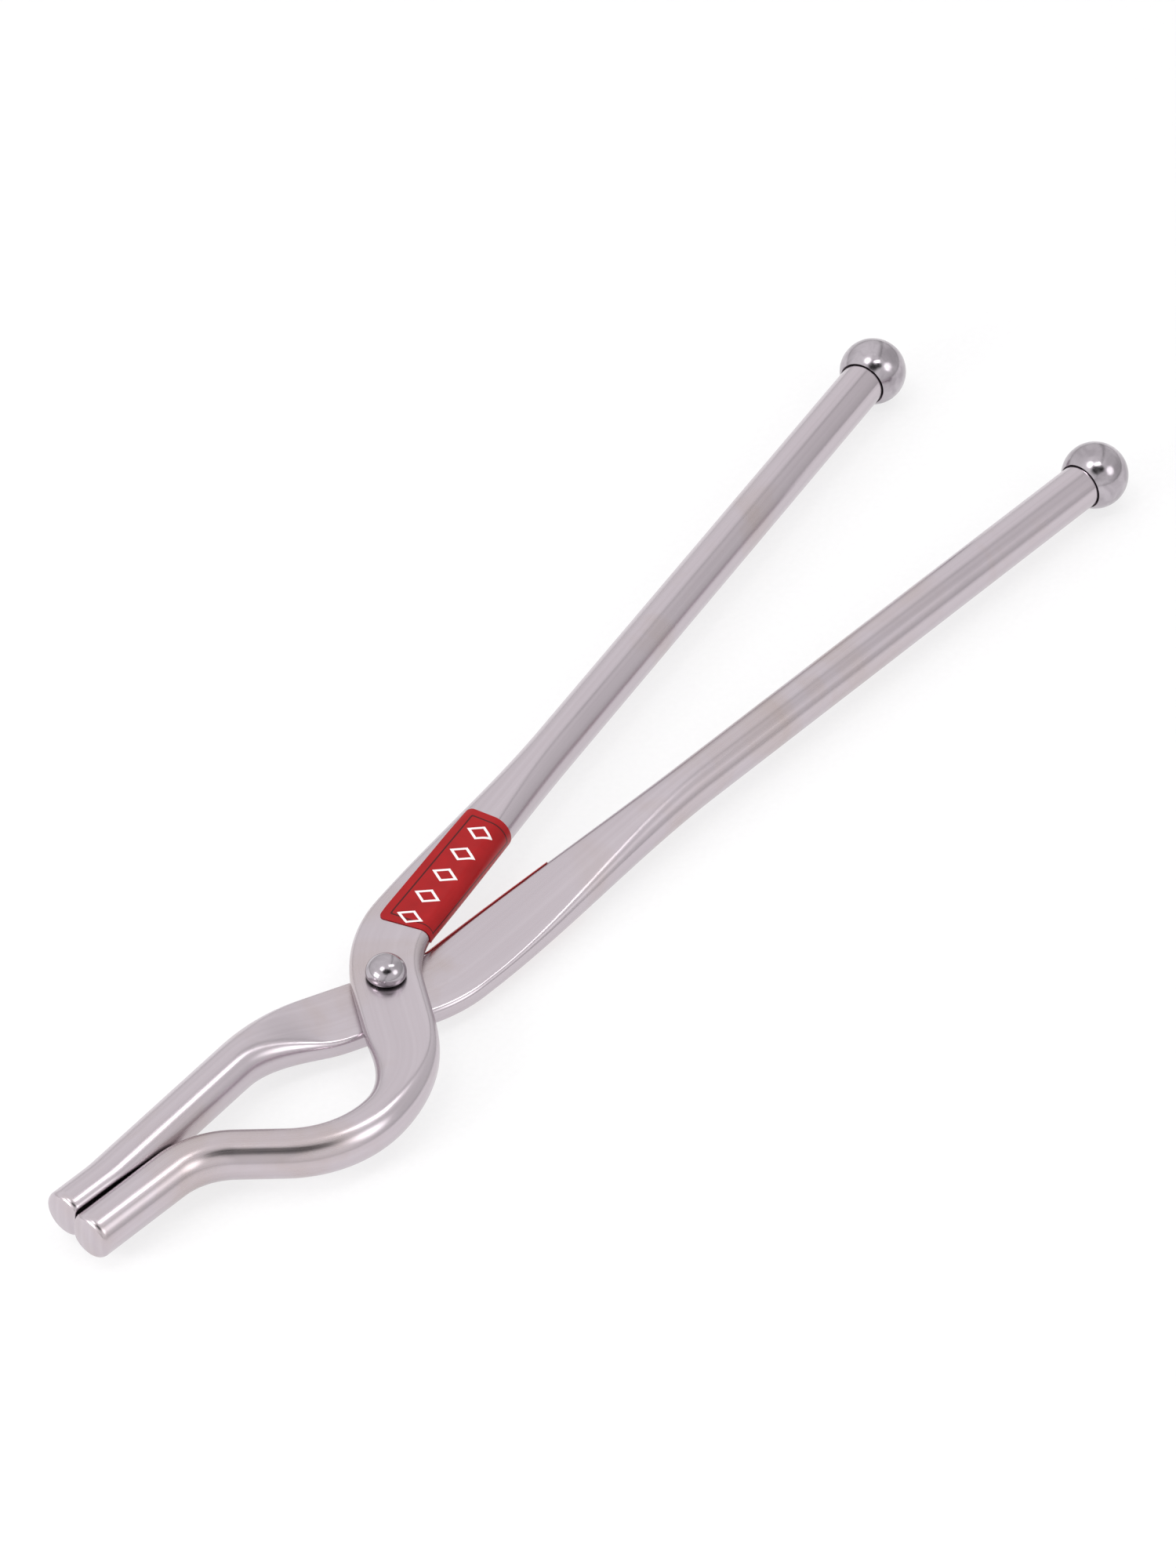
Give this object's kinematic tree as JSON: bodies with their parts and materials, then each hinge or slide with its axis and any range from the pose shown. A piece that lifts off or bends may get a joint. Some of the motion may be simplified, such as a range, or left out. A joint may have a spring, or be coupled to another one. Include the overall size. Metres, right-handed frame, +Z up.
{
  "type": "ball-ended utensil pincers",
  "caption": "Riveted scissor-action tube pincers: straight gripping jaws, a deep and a shallow bow, long round handles that end in balls.",
  "frame": {"origin": "middle of the pincers' underside, jaws closed", "axes": "+X from the jaws to the handle balls, +Z up along the rivet, from the table the pincers lie on"},
  "size_m": [0.2551, 0.073, 0.0132],
  "materials": {
    "tube_steel": "machine-polished stainless steel with fine lengthwise lines",
    "bright_steel": "mirror-polished stainless steel",
    "red_sticker": "glossy red printed sticker"
  },
  "bodies": {
    "lower_half": {"lower_arm": "tube_steel", "lower_jaw_plug": "tube_steel", "lower_ball": "bright_steel", "lower_sticker": "red_sticker", "rivet": "bright_steel"},
    "upper_half": {"upper_arm": "tube_steel", "upper_jaw_plug": "tube_steel", "upper_ball": "bright_steel", "upper_sticker": "red_sticker"}
  },
  "joints": [
    {"name": "rivet_hinge", "type": "hinge", "parent": "lower_half", "child": "upper_half", "pos_m": [-0.05531, -0.01294, 0.0059], "axis": [0, 0, 1], "range_deg": [0, 60]}
  ]
}
